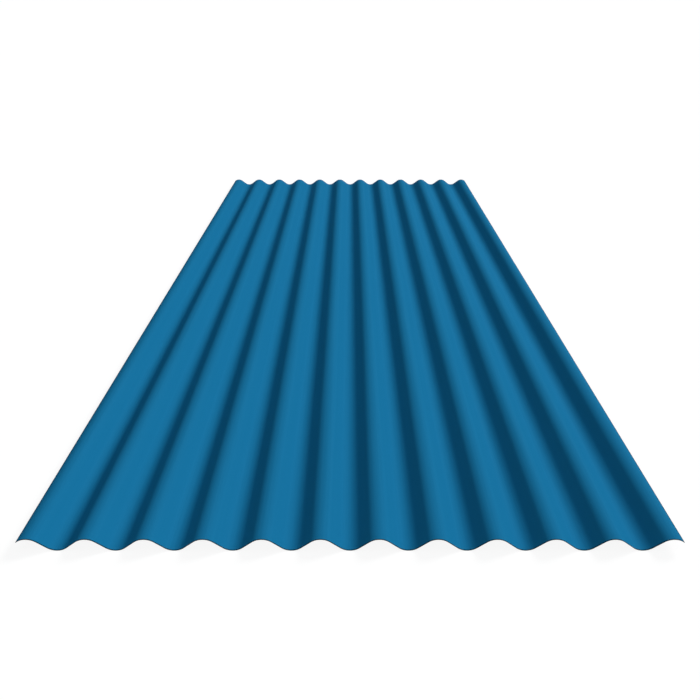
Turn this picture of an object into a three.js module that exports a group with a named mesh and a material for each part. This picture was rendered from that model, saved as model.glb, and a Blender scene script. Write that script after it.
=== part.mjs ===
// A corrugated roofing and cladding sheet: one piece of painted steel strip, roll formed into
// even round waves. Millimetres, +Z up. X runs across the waves, Y along them.
// The origin is under the middle of the sheet, on the level that its troughs lie on.
import * as THREE from 'three';

// ---- driving dimensions (mm) ----
const SHEET_LENGTH = 2000; // cut length, along the waves
const WAVE_PITCH = 76.2; // from one crest to the next
const WAVE_DEPTH = 18; // from trough to crest, on the same face of the sheet
const FLANK_LENGTH = 15.7; // the straight stretch between two bends
const SHEET_THICKNESS = 0.5; // painted steel, finished
const CREST_COUNT = 12;
const EDGE_RUN = 13.8; // from the outer crest out to the side edge, measured level

// ---- facets ----
const STEPS_PER_HALF_BEND = 8; // each bend is tangent facets, one of them level on its crown

// ---- finish ----
const PAINT_BLUE = 0x1a709e;
const PAINT_ROUGHNESS = 0.6;
const PAINT_METALNESS = 0;

// ---- what follows from the driving dimensions ----
const HALF_PITCH = WAVE_PITCH / 2;
const HALF_THICKNESS = SHEET_THICKNESS / 2;
const HALF_WIDTH = (CREST_COUNT - 1) * HALF_PITCH + EDGE_RUN;

// A half wave is a bend, a straight flank and the same bend turned over. The two bends have one
// radius, and the flank is tangent to both, so pitch, depth and flank length fix that radius.
const BEND_RADIUS = (HALF_PITCH ** 2 + WAVE_DEPTH ** 2 - FLANK_LENGTH ** 2) / (4 * WAVE_DEPTH);
const FLANK_ANGLE =
  Math.atan2(2 * BEND_RADIUS, FLANK_LENGTH) - Math.atan2(2 * BEND_RADIUS - WAVE_DEPTH, HALF_PITCH);

// One bend on the middle line of the steel, from its left end to its right. The facets touch the
// arc at even angles, the level crown and the two flanks among them, so the overall height and
// the flanks are exact, and the corners stand on the crossings of neighbouring tangents.
function bendCorners(crownX, isCrest) {
  const crownZ = HALF_THICKNESS + (isCrest ? WAVE_DEPTH : 0);
  const outward = isCrest ? 1 : -1;
  const centreZ = crownZ - outward * BEND_RADIUS;
  const step = FLANK_ANGLE / STEPS_PER_HALF_BEND;
  const cornerRadius = BEND_RADIUS / Math.cos(step / 2);
  const corners = [];
  for (let i = -STEPS_PER_HALF_BEND; i < STEPS_PER_HALF_BEND; i++) {
    const angle = (i + 0.5) * step;
    corners.push(
      new THREE.Vector2(
        crownX + cornerRadius * Math.sin(angle),
        centreZ + outward * cornerRadius * Math.cos(angle),
      ),
    );
  }
  return corners;
}

// The waves, laid out evenly about X = 0 and running past both side edges.
function endlessMiddleLine() {
  const spareHalfWaves = Math.ceil(EDGE_RUN / HALF_PITCH) + 1;
  const lastCrest = CREST_COUNT - 1;
  const lastBend = lastCrest + spareHalfWaves;
  const line = [];
  for (let bend = -lastBend; bend <= lastBend; bend++) {
    const isCrest = (bend - lastCrest) % 2 === 0;
    line.push(...bendCorners(bend * HALF_PITCH, isCrest));
  }
  return line;
}

// Shears a line off at X = -HALF_WIDTH and X = HALF_WIDTH.
function shearToWidth(line) {
  const pointAt = (x, before, after) =>
    before.clone().lerp(after, (x - before.x) / (after.x - before.x));
  const first = line.findIndex((point) => point.x > -HALF_WIDTH);
  const last = line.findLastIndex((point) => point.x < HALF_WIDTH);
  return [
    pointAt(-HALF_WIDTH, line[first - 1], line[first]),
    ...line.slice(first, last + 1),
    pointAt(HALF_WIDTH, line[last], line[last + 1]),
  ];
}

// Moves a line sideways by a distance that is the same on every facet. A corner moves along its
// mitre, and an end moves square to its own facet.
function parallelLine(line, distance) {
  const normals = line.slice(1).map((point, i) => {
    const along = point.clone().sub(line[i]).normalize();
    return new THREE.Vector2(-along.y, along.x);
  });
  return line.map((point, i) => {
    const before = normals[Math.max(i - 1, 0)];
    const after = normals[Math.min(i, normals.length - 1)];
    const mitre = before.clone().add(after);
    mitre.multiplyScalar(distance / mitre.dot(after));
    return point.clone().add(mitre);
  });
}

// The section of the steel: its upper face from left to right, then its lower face back again.
function sheetSection() {
  const middle = shearToWidth(endlessMiddleLine());
  const upper = parallelLine(middle, HALF_THICKNESS);
  const lower = parallelLine(middle, -HALF_THICKNESS);
  return new THREE.Shape([...lower, ...upper.reverse()]);
}

function corrugatedSheet() {
  const geometry = new THREE.ExtrudeGeometry(sheetSection(), {
    depth: SHEET_LENGTH,
    steps: 1,
    bevelEnabled: false,
  });
  const paint = new THREE.MeshStandardMaterial({
    color: PAINT_BLUE,
    roughness: PAINT_ROUGHNESS,
    metalness: PAINT_METALNESS,
  });
  const mesh = new THREE.Mesh(geometry, paint);
  mesh.name = 'corrugated_sheet';
  // the section is drawn in X and Y and extruded along Z: this turn stands it up along Y
  mesh.rotation.x = Math.PI / 2;
  mesh.position.y = SHEET_LENGTH / 2;
  return mesh;
}

const part = new THREE.Group();
part.add(corrugatedSheet());

export default part;
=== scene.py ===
# %% [markdown]
# # A corrugated metal sheet
# One sheet of roofing steel, painted blue, lies on a pale floor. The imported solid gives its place
# and its size. This script makes the surface that is looked at: round bends without facets, a
# matt paint film, the pale coat underneath, and the bare metal of the cut edge.
# Everything is in metres, with X across the waves, Y along them and Z up.

# %% Load the frame
import bisect
import itertools
import math

import bpy
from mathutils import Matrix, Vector


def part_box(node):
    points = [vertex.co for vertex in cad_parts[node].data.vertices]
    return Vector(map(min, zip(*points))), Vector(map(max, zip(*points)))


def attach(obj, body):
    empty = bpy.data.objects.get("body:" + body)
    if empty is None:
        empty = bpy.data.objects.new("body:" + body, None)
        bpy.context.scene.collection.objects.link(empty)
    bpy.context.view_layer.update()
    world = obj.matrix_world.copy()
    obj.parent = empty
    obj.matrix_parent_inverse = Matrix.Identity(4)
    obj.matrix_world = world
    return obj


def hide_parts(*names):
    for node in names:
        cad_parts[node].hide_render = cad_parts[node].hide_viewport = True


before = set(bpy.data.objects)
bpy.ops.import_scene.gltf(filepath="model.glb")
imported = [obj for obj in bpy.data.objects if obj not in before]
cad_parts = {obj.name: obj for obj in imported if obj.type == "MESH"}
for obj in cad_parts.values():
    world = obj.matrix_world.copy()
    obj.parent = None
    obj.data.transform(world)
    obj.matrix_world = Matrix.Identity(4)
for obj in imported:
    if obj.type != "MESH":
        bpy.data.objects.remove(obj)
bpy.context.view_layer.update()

print("nodes:", sorted(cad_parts))

# %% [markdown]
# ## The waves
# A roll former bends flat strip between pairs of rollers, a little more at each stand. What comes
# out isn't a true sine. Each bend is an arc of one radius, because a roller is round, and between
# two bends the steel is straight. Three sizes settle the whole section: the pitch, the depth and
# the length of the straight flank. The radius and the slope of the flank follow from them.
# A sine curve would be quicker to write, but light would roll over it too slowly: the even tone of
# a flat flank, with a quick turn at each side of it, is what says bent metal.
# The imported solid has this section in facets, so its length, width and height are read from it.
# Only what a box can't tell is written here.

# %% Sizes of the section
SHEET = "corrugated_sheet"
WAVE_PITCH = 0.0762
FLANK_LENGTH = 0.0157
STEEL_THICKNESS = 0.0005
CREST_COUNT = 12

sheet_low, sheet_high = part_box(SHEET)
sheet_length = sheet_high.y - sheet_low.y
wave_depth = sheet_high.z - sheet_low.z - STEEL_THICKNESS
half_pitch = WAVE_PITCH / 2
half_thickness = STEEL_THICKNESS / 2
print(f"{sheet_length:.3f} m long, waves {wave_depth * 1000:.1f} mm deep")

# %% The radius, the slope and the cut
bend_radius = (half_pitch**2 + wave_depth**2 - FLANK_LENGTH**2) / (4 * wave_depth)
flank_angle = math.atan2(2 * bend_radius, FLANK_LENGTH) - math.atan2(
    2 * bend_radius - wave_depth, half_pitch
)
outer_crest_x = (CREST_COUNT - 1) * half_pitch
# the cut is square to the flank, so one of its corners stands out past the middle line
cut_x = sheet_high.x - half_thickness * math.sin(flank_angle)
print(f"bends of radius {bend_radius * 1000:.2f} mm, flanks at {math.degrees(flank_angle):.1f} degrees")
print(f"slit {(cut_x - outer_crest_x) * 1000:.1f} mm beyond the outer crests")

# %% [markdown]
# ### The middle line of the steel
# A line of points down the middle of the steel is enough to draw the section. A bend takes even
# steps of angle, so that light rolls round it evenly, and a flank needs only a few points.
# Beyond each outer bend only a millimetre of flank is left: that is where the strip was slit.

# %% One bend
BEND_STEPS = 18


def bend_points(crown_x, is_crest):
    """Points round one bend, from left to right, as (x, z)."""
    up = 1 if is_crest else -1
    crown_z = half_thickness + (wave_depth if is_crest else 0)
    angles = [flank_angle * (2 * i / BEND_STEPS - 1) for i in range(BEND_STEPS + 1)]
    return [
        (crown_x + bend_radius * math.sin(a), crown_z - up * bend_radius * (1 - math.cos(a)))
        for a in angles
    ]


print("points round a bend:", len(bend_points(0, is_crest=True)))

# %% The whole section
FLANK_STEPS = 4


def flank_points(start, end):
    """The points between two bends, without the two ends, which the bends have already."""
    shares = [i / FLANK_STEPS for i in range(1, FLANK_STEPS)]
    return [(start[0] + (end[0] - start[0]) * s, start[1] + (end[1] - start[1]) * s) for s in shares]


def slit_end(bend_end):
    """The end of the short flank that leads down from the outer crest on the right."""
    return cut_x, bend_end[1] - (cut_x - bend_end[0]) * math.tan(flank_angle)


def middle_line():
    """The middle line of the steel from one side cut to the other, as (x, z)."""
    line = []
    for bend in range(2 * CREST_COUNT - 1):
        points = bend_points(bend * half_pitch - outer_crest_x, is_crest=bend % 2 == 0)
        if line:
            line += flank_points(line[-1], points[0])
        line += points
    x, z = slit_end(line[-1])
    return [(-x, z), *line, (x, z)]


section = middle_line()
print(f"{len(section)} points across {2 * CREST_COUNT - 1} bends")

# %% [markdown]
# ## From a line to a sheet
# The line is repeated along the length and joined with four-sided faces, which gives a surface with
# no thickness. Two rows would be enough for its shape. More of them keep any face from being two
# metres long and a millimetre wide, which shades and unwraps badly.
# Two modifiers finish it. Solidify puts a face on each side of it, with the same thickness round the
# bends as on the flanks, and closes the rim with a material of its own. Bevel then rounds the
# corners of the rim by a tenth of a millimetre, as shears leave them, so that they catch the light
# as a thin line. The bends turn too little from face to face for Bevel to touch them. Modelling
# both sides point by point would give the same mesh with more ways to get it wrong.

# %% The middle surface
LENGTH_STEPS = 32


def middle_surface(name):
    """The section swept along the length, as a smooth grid."""
    columns = len(section)
    rows = [sheet_low.y + sheet_length * i / LENGTH_STEPS for i in range(LENGTH_STEPS + 1)]
    vertices = [(x, y, z) for y in rows for x, z in section]
    corners = [row * columns + i for row in range(LENGTH_STEPS) for i in range(columns - 1)]
    faces = [(c, c + 1, c + columns + 1, c + columns) for c in corners]
    mesh = bpy.data.meshes.new(name)
    mesh.from_pydata(vertices, [], faces)
    mesh.shade_smooth()
    piece = bpy.data.objects.new(name, mesh)
    bpy.context.scene.collection.objects.link(piece)
    return piece


sheet = middle_surface("painted_sheet")
print(f"middle surface: {len(sheet.data.polygons)} faces")

# %% Thickness
TOP_FACE, UNDER_FACE, CUT_EDGE = range(3)

steel = sheet.modifiers.new("steel", "SOLIDIFY")
steel.thickness = STEEL_THICKNESS
steel.offset = 0  # half of the steel on each side of the middle surface
steel.use_even_offset = True
steel.use_quality_normals = True
steel.material_offset = UNDER_FACE
steel.material_offset_rim = CUT_EDGE
print(f"steel {STEEL_THICKNESS * 1000:.1f} mm thick")

# %% Sheared corners
CORNER_ROUNDING = 0.0001
CORNER_STEPS = 2
LEAST_CORNER_ANGLE = 60

rounding = sheet.modifiers.new("sheared corners", "BEVEL")
rounding.width = CORNER_ROUNDING
rounding.segments = CORNER_STEPS
rounding.limit_method = "ANGLE"
rounding.angle_limit = math.radians(LEAST_CORNER_ANGLE)
rounding.harden_normals = True
print(f"corners rounded by {CORNER_ROUNDING * 1000:.1f} mm")

# %% [markdown]
# ## Effects that the finishes share
# The paint on top and the coat underneath are baked on one strip, and they pass the same rollers
# and the same shears, so they have three effects in common. Each is a node group: it is built
# once, and each material places it with its own numbers. A group puts out only what changes over
# the surface, and the shader that uses it stays in the material.
# All three take the object's own coordinates. They are metres from the middle of the sheet, so a
# size in a group is a real size, and no unwrapping is needed.

# %% Helpers for node groups
def new_group(name, inputs, outputs):
    """An empty shader group, with sockets made from {name: kind} tables."""
    group = bpy.data.node_groups.new(name, "ShaderNodeTree")
    for socket_name, kind in inputs.items():
        group.interface.new_socket(socket_name, in_out="INPUT", socket_type=f"NodeSocket{kind}")
    for socket_name, kind in outputs.items():
        group.interface.new_socket(socket_name, in_out="OUTPUT", socket_type=f"NodeSocket{kind}")
    entry = group.nodes.new("NodeGroupInput").outputs
    result = group.nodes.new("NodeGroupOutput").inputs
    return group, entry, result


def connect(tree, value, socket):
    """Links a socket, or sets a plain number or vector."""
    if isinstance(value, bpy.types.NodeSocket):
        tree.links.new(value, socket)
    else:
        socket.default_value = value


print("helpers:", new_group.__name__, connect.__name__)

# %% [markdown]
# ### Film texture
# Matt paint isn't smooth. Hard beads in it make the film rise and fall by a hundredth or two of a
# millimetre, nearly twice in each millimetre, and that is what dulls it. As geometry, such small
# rises would need millions of faces. Noise of one size gives them instead, and its height goes to
# a Bump node in the material, which only tilts the light. They show from close by and nowhere
# else.

# %% Noise with a size of its own
def scaled_noise(tree, position, across, along, up, detail):
    """Noise with its own scale along each axis, in waves per metre."""
    scale = tree.nodes.new("ShaderNodeCombineXYZ")
    for axis, value in zip("XYZ", (across, along, up)):
        connect(tree, value, scale.inputs[axis])
    stretch = tree.nodes.new("ShaderNodeVectorMath")
    stretch.operation = "MULTIPLY"
    connect(tree, position, stretch.inputs[0])
    connect(tree, scale.outputs["Vector"], stretch.inputs[1])
    noise = tree.nodes.new("ShaderNodeTexNoise")
    noise.inputs["Scale"].default_value = 1
    noise.inputs["Detail"].default_value = detail
    connect(tree, stretch.outputs["Vector"], noise.inputs["Vector"])
    return noise.outputs["Fac"]


print("helper:", scaled_noise.__name__)

# %% Film texture
film_texture, texture_in, texture_out = new_group(
    "film texture",
    {"Position": "Vector", "Rises per metre": "Float"},
    {"Height": "Float"},
)
rises = texture_in["Rises per metre"]
connect(
    film_texture,
    scaled_noise(film_texture, texture_in["Position"], rises, rises, rises, detail=1),
    texture_out["Height"],
)
print("group:", film_texture.name)

# %% [markdown]
# ### Roller lines
# Each pair of rollers rubs the strip where it presses: on the crowns of the crests and on the
# floors of the troughs, and much less on the flanks between them. It leaves faint, fine lines that
# run a long way down the sheet. A painted picture of scratches would repeat itself along two
# metres. Noise that is squeezed across the sheet and stretched along it draws such lines without
# end, and the height of the surface says how hard the rollers pressed there.

# %% Arithmetic and fades
def math_node(tree, operation, *operands):
    """One step of arithmetic, on sockets or plain numbers."""
    node = tree.nodes.new("ShaderNodeMath")
    node.operation = operation
    for socket, operand in zip(node.inputs, operands):
        connect(tree, operand, socket)
    return node.outputs["Value"]


def fade(tree, value, start, end):
    """1 where value is at start or short of it, falling smoothly to 0 at end."""
    node = tree.nodes.new("ShaderNodeMapRange")
    node.interpolation_type = "SMOOTHSTEP"
    connect(tree, value, node.inputs["Value"])
    connect(tree, start, node.inputs["From Min"])
    connect(tree, end, node.inputs["From Max"])
    node.inputs["To Min"].default_value = 1
    node.inputs["To Max"].default_value = 0
    return node.outputs["Result"]


print("helpers:", math_node.__name__, fade.__name__)

# %% Lines that run down the sheet
roller_lines, lines_in, lines_out = new_group(
    "roller lines",
    {
        "Position": "Vector",
        "Lines per metre": "Float",
        "Breaks per metre": "Float",
        "Middle height": "Float",
        "Half depth": "Float",
    },
    {"Shade": "Float"},
)
line_noise = scaled_noise(
    roller_lines,
    lines_in["Position"],
    lines_in["Lines per metre"],
    lines_in["Breaks per metre"],
    0.0,
    detail=2,
)
print(f"{roller_lines.name}: {len(roller_lines.nodes)} nodes so far")

# %% Where the rollers pressed
UNPRESSED_SHARE = 0.35

line_place = roller_lines.nodes.new("ShaderNodeSeparateXYZ")
connect(roller_lines, lines_in["Position"], line_place.inputs["Vector"])
above_middle = math_node(
    roller_lines,
    "SUBTRACT",
    line_place.outputs["Z"],
    lines_in["Middle height"],
)
from_middle = math_node(roller_lines, "ABSOLUTE", above_middle)
near_middle = fade(roller_lines, from_middle, 0.0, lines_in["Half depth"])
near_crown = math_node(roller_lines, "SUBTRACT", 1.0, near_middle)
pressed = math_node(roller_lines, "MAXIMUM", near_crown, UNPRESSED_SHARE)
connect(roller_lines, math_node(roller_lines, "MULTIPLY", line_noise, pressed), lines_out["Shade"])
print("group:", roller_lines.name)

# %% [markdown]
# ### The pinched edge, with painted shade
# Shears and slitters drag the steel down a little as they cut, and pinch the film there. Two
# marks follow the edge all round. A line a millimetre or two wide is darker: part of that is the
# film's pinching, and part is painted shade, a dark outline standing in for the shade along the
# edge. At the very corner the film is cracked off in slivers as fine as a hair. They could be
# painted by hand on an unwrapped sheet. The group measures instead how far each point is from the
# nearest cut, in metres, and makes both borders a little ragged with noise. So the marks keep their
# width on a sheet of any length.

# %% Distance from the cut
NICKS_PER_METRE = 900.0
RAGGEDNESS = 0.3

pinched_edge, edge_in, edge_out = new_group(
    "pinched edge",
    {"Position": "Vector", "Half width": "Float", "Half length": "Float", "Reach": "Float"},
    {"Pinch and painted shade": "Float", "Cracked": "Float"},
)
edge_place = pinched_edge.nodes.new("ShaderNodeSeparateXYZ")
connect(pinched_edge, edge_in["Position"], edge_place.inputs["Vector"])


def distance_from_cut(axis, half_size):
    """The distance in from the nearer of the two cuts across one axis."""
    from_centre = math_node(pinched_edge, "ABSOLUTE", edge_place.outputs[axis])
    return math_node(pinched_edge, "SUBTRACT", edge_in[half_size], from_centre)


nearest_cut = math_node(
    pinched_edge,
    "MINIMUM",
    distance_from_cut("X", "Half width"),
    distance_from_cut("Y", "Half length"),
)
print(f"{pinched_edge.name}: {len(pinched_edge.nodes)} nodes so far")

# %% The darker line, of pinching and painted shade, and the cracked slivers
PINCH_AND_SHADE_CORE = 0.35
PINCH_AND_SHADE_END = 0.8
CRACK_LIMIT = 0.12
CRACK_SOFTNESS = 0.01

edge_noise = scaled_noise(
    pinched_edge,
    edge_in["Position"],
    NICKS_PER_METRE,
    NICKS_PER_METRE,
    NICKS_PER_METRE,
    detail=3,
)
raggedness = math_node(pinched_edge, "MULTIPLY", edge_noise, RAGGEDNESS)
share = math_node(pinched_edge, "DIVIDE", nearest_cut, edge_in["Reach"])
ragged_share = math_node(pinched_edge, "ADD", share, raggedness)
# the darker line along each cut: partly the film's pinching, partly painted shade
pinched = fade(pinched_edge, ragged_share, PINCH_AND_SHADE_CORE, PINCH_AND_SHADE_END)
connect(pinched_edge, pinched, edge_out["Pinch and painted shade"])
cracked = fade(pinched_edge, ragged_share, CRACK_LIMIT - CRACK_SOFTNESS, CRACK_LIMIT)
connect(pinched_edge, cracked, edge_out["Cracked"])
print("group:", pinched_edge.name)

# %% [markdown]
# ## The coats
# Both coats are built by one function from the same effects, with different numbers. Copying one
# material and changing its numbers would be as quick, but each later mend would be made twice. The
# pigment is strong and even, so the colour itself hardly changes: the waves you see are light and
# shade. The roller lines lighten it by a few parts in a hundred and polish it a little. Where the
# film is cracked off, the zinc shows, and there the surface is metal.

# %% Helpers for materials
def srgb(red, green, blue):
    """The linear colour that a shader takes, from the 0 to 255 that a colour picker shows."""
    shares = [value / 255 for value in (red, green, blue)]
    curve = [s / 12.92 if s <= 0.04045 else ((s + 0.055) / 1.055) ** 2.4 for s in shares]
    return (*curve, 1.0)


def new_material(name):
    """A material with its node tree and the sockets of its shader."""
    material = bpy.data.materials.new(name)
    material.use_nodes = True
    tree = material.node_tree
    return material, tree, tree.nodes["Principled BSDF"].inputs


print(f"the grey halfway up a colour picker is {srgb(128, 128, 128)[0]:.2f} of white")

# %% Helpers that fill a material
def place_group(tree, group, **values):
    """Places a node group, feeds it the object's coordinates and sets its other sockets."""
    node = tree.nodes.new("ShaderNodeGroup")
    node.node_tree = group
    coordinates = tree.nodes.new("ShaderNodeTexCoord").outputs["Object"]
    connect(tree, coordinates, node.inputs["Position"])
    for socket_name, value in values.items():
        node.inputs[socket_name.replace("_", " ")].default_value = value
    return node.outputs


def blend_colours(tree, share, first, second):
    """The first colour where share is 0, the second where it is 1, and between them elsewhere."""
    mix = tree.nodes.new("ShaderNodeMix")
    mix.data_type = "RGBA"
    connect(tree, share, mix.inputs["Factor"])
    colour_sockets = [socket for socket in mix.inputs if socket.type == "RGBA"]
    connect(tree, first, colour_sockets[0])
    connect(tree, second, colour_sockets[1])
    return next(socket for socket in mix.outputs if socket.type == "RGBA")


print("helpers:", place_group.__name__, blend_colours.__name__)

# %% What both coats have in common
ZINC = srgb(150, 154, 158)
ZINC_ROUGHNESS = 0.4
# how far in from a cut the darker line of pinching and painted shade reaches; the cracks lie nearest
# the cut
PINCH_AND_SHADE_REACH = 0.0035
LINES_PER_METRE = 340.0
BREAKS_PER_METRE = 2.0
RISES_PER_METRE = 1800.0

print(f"the film is pinched within {PINCH_AND_SHADE_REACH * 1000:.1f} mm of a cut")
print(f"the roller lines are about {1000 / LINES_PER_METRE:.1f} mm apart")

# %% The colour of a film
def colour_film(tree, shader, lines, edge, full, rubbed, pinched):
    """Full to rubbed on the roller lines, darker at cuts by pinching and painted shade, zinc in cracks.
    """
    film = blend_colours(tree, lines["Shade"], full, rubbed)
    # painted shade: the edge line darkens the film, partly from pinching and partly as shade painted in
    edged_film = blend_colours(tree, edge["Pinch and painted shade"], film, pinched)
    connect(tree, blend_colours(tree, edge["Cracked"], edged_film, ZINC), shader["Base Color"])
    connect(tree, edge["Cracked"], shader["Metallic"])


print("helper:", colour_film.__name__)

# %% The gloss and the texture of a film
def polish_film(tree, shader, lines, edge, roughness, polish):
    """Matt paint, smoother on the roller lines and as smooth as zinc in the cracks."""
    polished = math_node(tree, "MULTIPLY", lines["Shade"], polish)
    film_roughness = math_node(tree, "SUBTRACT", roughness, polished)
    worn = math_node(tree, "MULTIPLY", edge["Cracked"], roughness - ZINC_ROUGHNESS)
    connect(tree, math_node(tree, "SUBTRACT", film_roughness, worn), shader["Roughness"])


def roughen_film(tree, shader, rise):
    """The fine texture of the film, from 0 to rise metres high."""
    texture = place_group(tree, film_texture, Rises_per_metre=RISES_PER_METRE)
    bump = tree.nodes.new("ShaderNodeBump")
    bump.inputs["Distance"].default_value = rise
    connect(tree, texture["Height"], bump.inputs["Height"])
    connect(tree, bump.outputs["Normal"], shader["Normal"])


print("helpers:", polish_film.__name__, roughen_film.__name__)

# %% One coat
def coat(name, full, rubbed, pinched, roughness, polish, specular, rise):
    """A baked paint film, from its three colours, its gloss and the height of its texture."""
    material, tree, shader = new_material(name)
    lines = place_group(
        tree,
        roller_lines,
        Lines_per_metre=LINES_PER_METRE,
        Breaks_per_metre=BREAKS_PER_METRE,
        Middle_height=half_thickness + wave_depth / 2,
        Half_depth=wave_depth / 2,
    )
    edge = place_group(
        tree,
        pinched_edge,
        Half_width=sheet_high.x,
        Half_length=sheet_high.y,
        Reach=PINCH_AND_SHADE_REACH,
    )
    colour_film(tree, shader, lines, edge, full, rubbed, pinched)
    polish_film(tree, shader, lines, edge, roughness, polish)
    roughen_film(tree, shader, rise)
    shader["Specular IOR Level"].default_value = specular
    print(f"material: {name}, {len(tree.nodes)} nodes")
    return material


print("helper:", coat.__name__)

# %% [markdown]
# ### The blue top coat
# Polyester paint for roofs is baked on before the strip is formed. It is thin, even and matt, so
# that it doesn't dazzle, which is why almost all of its look is plain diffuse colour. The mirror
# part of the shader is set close to nothing. At more than that, a white room that is mirrored at
# a low angle would lie over the far end like haze.

# %% Blue top coat
top_coat = coat(
    "blue top coat",
    full=srgb(20, 108, 151),
    rubbed=srgb(28, 115, 159),
    # the darker edge line: the film's pinching, darkened further by painted shade
    pinched=srgb(3, 54, 72),
    roughness=0.8,
    polish=0.1,
    specular=0.004,
    rise=0.00004,
)

# %% [markdown]
# ### The grey backing coat
# The side that faces the rafters gets a thinner and cheaper coat in a pale grey. It hides the
# zinc but not its marks, so the roller lines show a little more on it. One material could serve
# both sides and choose its colour by which way a face looks. Two are easier to read, and the
# function of the top coat makes this one as well, with numbers of its own.

# %% Grey backing coat
backing_coat = coat(
    "grey backing coat",
    full=srgb(172, 175, 174),
    rubbed=srgb(186, 189, 188),
    # the darker edge line on the underside: the coat's pinching and painted shade
    pinched=srgb(112, 114, 112),
    roughness=0.7,
    polish=0.1,
    specular=0.15,
    rise=0.00003,
)

# %% [markdown]
# ### The cut edge
# A guillotine leaves bare metal: a part is burnished by the blade, and the rest is torn and dull.
# At half a millimetre the two can't be told apart, and the edge reads as one dark grey line. So
# a dull metal is enough, with fine marks that are darker where it tore and smoother where the
# blade rubbed. The group of the roller lines makes them at a much finer scale. Its middle height
# is set far below the sheet, so that the marks are as strong everywhere.

# %% Sheared steel
TORN = srgb(40, 47, 53)
BURNISHED = srgb(76, 83, 89)
TORN_ROUGHNESS = 0.62
BLADE_POLISH = 0.3
BLADE_MARKS_PER_METRE = 5000.0

cut_steel, cut_tree, cut_shader = new_material("sheared steel")
blade_marks = place_group(
    cut_tree,
    roller_lines,
    Lines_per_metre=BLADE_MARKS_PER_METRE,
    Breaks_per_metre=BLADE_MARKS_PER_METRE,
    Middle_height=-1.0,
    Half_depth=0.5,
)
cut_colour = blend_colours(cut_tree, blade_marks["Shade"], TORN, BURNISHED)
connect(cut_tree, cut_colour, cut_shader["Base Color"])
blade_gloss = math_node(cut_tree, "MULTIPLY", blade_marks["Shade"], BLADE_POLISH)
cut_roughness = math_node(cut_tree, "SUBTRACT", TORN_ROUGHNESS, blade_gloss)
connect(cut_tree, cut_roughness, cut_shader["Roughness"])
cut_shader["Metallic"].default_value = 1.0
print(f"material: {cut_steel.name}, {len(cut_tree.nodes)} nodes")

# %% [markdown]
# ## Finish the sheet
# Solidify gives its new faces a material by the number of its slot, so the three finishes go in by
# those numbers. The modifiers could stay on the sheet, and a render of it would look no different.
# They are applied so that what is measured, shown and exported is one plain mesh. It takes the
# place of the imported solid.

# %% Finish the sheet
finishes = {TOP_FACE: top_coat, UNDER_FACE: backing_coat, CUT_EDGE: cut_steel}
for face in sorted(finishes):
    sheet.data.materials.append(finishes[face])
graph = bpy.context.evaluated_depsgraph_get()
finished_mesh = bpy.data.meshes.new_from_object(sheet.evaluated_get(graph))
sheet.modifiers.clear()
sheet.data = finished_mesh
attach(sheet, "root")
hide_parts(SHEET)
triangles = sum(len(face.vertices) - 2 for face in sheet.data.polygons)
print(f"sheet: {len(sheet.data.vertices)} points, {triangles} triangles")

# %% [markdown]
# ## The strip laid flat
# Before it is rolled, the sheet is a flat strip of steel, and bending doesn't stretch it. So both
# of its faces unroll again without distortion. A UV map keeps that layout: it gives every corner
# of a face its spot on a square picture. The finishes don't read it, because they work from the
# object's own coordinates. It is there so that they can be baked into pictures. Smart UV Project
# would make a map in one line, but it cuts the waves apart, and a fine line shows on the underside
# where two of its pieces meet.
# The two faces fill most of the square, side by side. The four cut edges get a narrow column each
# and are drawn far wider than they are, since half a millimetre would fall between two pixels.
# Each is laid as it is seen from outside, so that none of them is mirrored.

# %% Unroll a point
section_x = [x for x, z in section]
steps_across = [math.dist(start, end) for start, end in zip(section, section[1:])]
reached = list(itertools.accumulate(steps_across, initial=0))
strip_width = reached[-1]


def unroll(x, z):
    """How far across the flat strip a point lies, from 0 to 1, and its height over the middle line."""
    end = min(max(bisect.bisect(section_x, x), 1), len(section) - 1)
    (start_x, start_z), (end_x, end_z) = section[end - 1], section[end]
    share = (x - start_x) / (end_x - start_x)
    across = reached[end - 1] + (reached[end] - reached[end - 1]) * share
    return across / strip_width, z - start_z - (end_z - start_z) * share


print(f"the flat strip is {strip_width * 1000:.1f} mm wide")

# %% Columns of the map
MAP_GAP = 0.006
CUT_COLUMN = 0.016
CUTS = ("left cut", "right cut", "near cut", "far cut")

face_column = (1 - len(CUTS) * CUT_COLUMN - (len(CUTS) + 3) * MAP_GAP) / 2
widths = {"underside": face_column, "top": face_column, **dict.fromkeys(CUTS, CUT_COLUMN)}
ends = itertools.accumulate(width + MAP_GAP for width in widths.values())
columns = {name: (end - width, width) for (name, width), end in zip(widths.items(), ends)}
print(f"{len(columns)} columns, the two faces {face_column:.3f} wide")

# %% Which column, and where in it
cut_height = STEEL_THICKNESS / math.cos(flank_angle)  # the tallest that a cut is, on a flank


def flat_place(face, point):
    """The column that a corner of a face goes to, and how far across and up it lies there."""
    across, height = unroll(point.x, point.z)
    up = (point.y - sheet_low.y) / sheet_length
    if face.material_index == TOP_FACE:
        return "top", across, up
    if face.material_index == UNDER_FACE:
        return "underside", 1 - across, up
    through = 0.5 + height / cut_height
    if abs(face.normal.x) > abs(face.normal.y):
        is_left = face.normal.x < 0
        return ("left cut", through, up) if is_left else ("right cut", 1 - through, up)
    is_near = face.normal.y < 0
    return ("near cut", 1 - through, across) if is_near else ("far cut", through, across)


# %% Lay the strip flat
BAKE_MAP = "OFBake"  # the name of the map that the finishes are baked through; the export looks for a map of this name


def lay_flat(mesh):
    """Gives the mesh its map, corner by corner."""
    layout = mesh.uv_layers.new(name=BAKE_MAP)
    for face in mesh.polygons:
        for corner in face.loop_indices:
            point = mesh.vertices[mesh.loops[corner].vertex_index].co
            column, across, up = flat_place(face, point)
            start, width = columns[column]
            layout.uv[corner].vector = (start + width * across, MAP_GAP + (1 - 2 * MAP_GAP) * up)


lay_flat(sheet.data)
print("layout:", sheet.data.uv_layers[BAKE_MAP].name)

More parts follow.
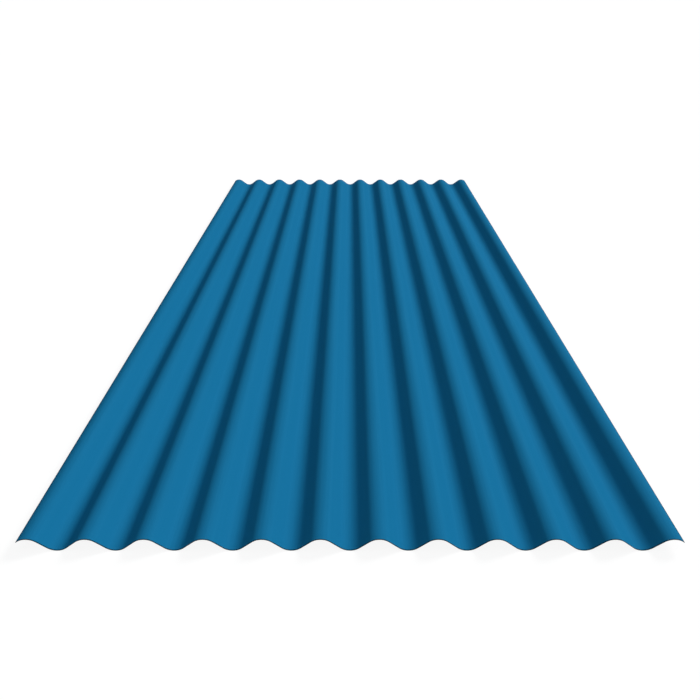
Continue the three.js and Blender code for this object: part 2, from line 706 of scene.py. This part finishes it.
# %% [markdown]
# ## The floor
# The floor is plain and pale. Straight and mirrored rays see it nearly white: a glow with a little
# matt added, and since a shadow can only take the matt part away, it stays a trace. To every other
# ray the floor is an ordinary matt surface that throws light back up. A Light Path node tells these
# rays apart. Making the floor white with more lamps instead would burn out the colour of the sheet.

# %% The rays that see the background
def background_ray(tree):
    """1 for the rays that see the background, and 0 for all others."""
    path = tree.nodes.new("ShaderNodeLightPath").outputs
    seen = math_node(tree, "MAXIMUM", path["Is Camera Ray"], path["Is Glossy Ray"])
    return math_node(tree, "MAXIMUM", seen, path["Is Transmission Ray"])


def choose_by_ray(tree, plain, background):
    """The background shader for the rays that see it, and the plain one for all others."""
    mix = tree.nodes.new("ShaderNodeMixShader")
    connect(tree, background_ray(tree), mix.inputs["Fac"])
    connect(tree, plain, mix.inputs[1])
    connect(tree, background, mix.inputs[2])
    return mix.outputs["Shader"]


print("straight, mirrored and refracted rays see the background")

# %% Floor material
FLOOR_GREY = 0.8
FLOOR_GLOW = 0.91
FLOOR_SHADOW_DEPTH = 0.115


def matt(tree, grey):
    """A surface without any shine, in a grey from 0 to 1."""
    node = tree.nodes.new("ShaderNodeBsdfDiffuse")
    node.inputs["Color"].default_value = (grey, grey, grey, 1)
    return node.outputs["BSDF"]


floor_finish = bpy.data.materials.new("pale floor")
floor_finish.use_nodes = True
floor_tree = floor_finish.node_tree
floor_tree.nodes.remove(floor_tree.nodes["Principled BSDF"])
glow = floor_tree.nodes.new("ShaderNodeEmission")
glow.inputs["Strength"].default_value = FLOOR_GLOW
shown = floor_tree.nodes.new("ShaderNodeAddShader")
connect(floor_tree, glow.outputs["Emission"], shown.inputs[0])
connect(floor_tree, matt(floor_tree, FLOOR_SHADOW_DEPTH), shown.inputs[1])
floor_surface = choose_by_ray(floor_tree, matt(floor_tree, FLOOR_GREY), shown.outputs["Shader"])
connect(floor_tree, floor_surface, floor_tree.nodes["Material Output"].inputs["Surface"])
print("material:", floor_finish.name)

# %% Floor
FLOOR_HALF = 150.0

floor_mesh = bpy.data.meshes.new("floor")
floor_signs = [(-1, -1), (1, -1), (1, 1), (-1, 1)]
floor_corners = [(x * FLOOR_HALF, y * FLOOR_HALF, 0) for x, y in floor_signs]
floor_mesh.from_pydata(floor_corners, [], [(0, 1, 2, 3)])
floor_mesh.materials.append(floor_finish)
floor = bpy.data.objects.new("floor", floor_mesh)
bpy.context.scene.collection.objects.link(floor)
print(f"floor: {2 * FLOOR_HALF:.0f} m square")

# %% [markdown]
# ## Light
# What draws the waves is one broad lamp at the far right. It falls squarely on the flanks that
# face it and only grazes the others, which keeps the change from light to shade quick. A second,
# very broad lamp overhead and a faint sky lift the shaded flanks, a little cooler than the first.
# One lamp alone would leave those flanks black, and light from all sides would flatten the waves.
# Suns are used because they light both ends of a long sheet alike.

# %% Lamps
def broad_lamp(name, towards, strength, degrees, colour):
    """A lamp that is far off in one direction and spread over some degrees of the sky."""
    data = bpy.data.lights.new(name, "SUN")
    data.energy = strength
    data.angle = math.radians(degrees)
    data.color = colour
    lamp = bpy.data.objects.new(name, data)
    lamp.rotation_mode = "QUATERNION"
    lamp.rotation_quaternion = Vector(towards).to_track_quat("Z", "Y")
    bpy.context.scene.collection.objects.link(lamp)
    print(f"{name}: strength {strength}, {degrees} degrees across")


broad_lamp(
    "side lamp",
    towards=(0.613, 0.6, 0.514),
    strength=3.4,
    degrees=20,
    colour=(1.0, 1.0, 1.0),
)
broad_lamp(
    "overhead lamp",
    towards=(0, 0, 1),
    strength=0.74,
    degrees=60,
    colour=(0.92, 0.95, 1.0),
)

# %% Sky
SKY_STRENGTH = 0.07
SKY_COLOUR = (0.88, 0.97, 1.0, 1)

world = bpy.data.worlds.new("studio")
bpy.context.scene.world = world
world.use_nodes = True
world_tree = world.node_tree
sky = world_tree.nodes["Background"]
sky.inputs["Color"].default_value = SKY_COLOUR
sky.inputs["Strength"].default_value = SKY_STRENGTH
white = world_tree.nodes.new("ShaderNodeBackground")
white.inputs["Color"].default_value = (1, 1, 1, 1)
sky_surface = choose_by_ray(world_tree, sky.outputs["Background"], white.outputs["Background"])
connect(world_tree, sky_surface, world_tree.nodes["World Output"].inputs["Surface"])
print("sky strength:", SKY_STRENGTH)

# %% [markdown]
# ## Camera
# The camera looks along the waves from above the near end, and the far end looks about a third as
# wide as the near one. That takes a short lens close to the sheet: a long one from far off would
# draw both ends nearly alike. The lens is given in pixels, which is how a drawn perspective is
# measured, and is then turned into the millimetres that Blender asks for.

# %% Camera
FRAME_PIXELS = 700
FOCAL_PIXELS = 720.9
SENSOR_WIDTH = 36.0
CAMERA_HEIGHT = 0.6504
CAMERA_BACK = 0.7243
CAMERA_DOWN = 26.365
NEAREST_SEEN = 0.01
FARTHEST_SEEN = 1000.0

camera_data = bpy.data.cameras.new("camera")
camera_data.sensor_width = SENSOR_WIDTH
camera_data.lens = FOCAL_PIXELS / FRAME_PIXELS * SENSOR_WIDTH
camera_data.clip_start = NEAREST_SEEN
camera_data.clip_end = FARTHEST_SEEN
camera = bpy.data.objects.new("camera", camera_data)
camera.location = (0, sheet_low.y - CAMERA_BACK, CAMERA_HEIGHT)
camera.rotation_euler = (math.radians(90 - CAMERA_DOWN), 0, 0)
bpy.context.scene.collection.objects.link(camera)
bpy.context.scene.camera = camera
bpy.context.scene.view_settings.view_transform = "Standard"
print(f"lens {camera_data.lens:.2f} mm, looking down {CAMERA_DOWN} degrees")

# %% [markdown]
# ## Finish
# The scene is brought up to date at the end. The boxes of the imported solid and of this model
# should agree to well under a millimetre, since the looks are built to the solid's size. They
# should agree to well under a millimetre, because the looks may not change the size.

# %% Finish
bpy.context.view_layer.update()
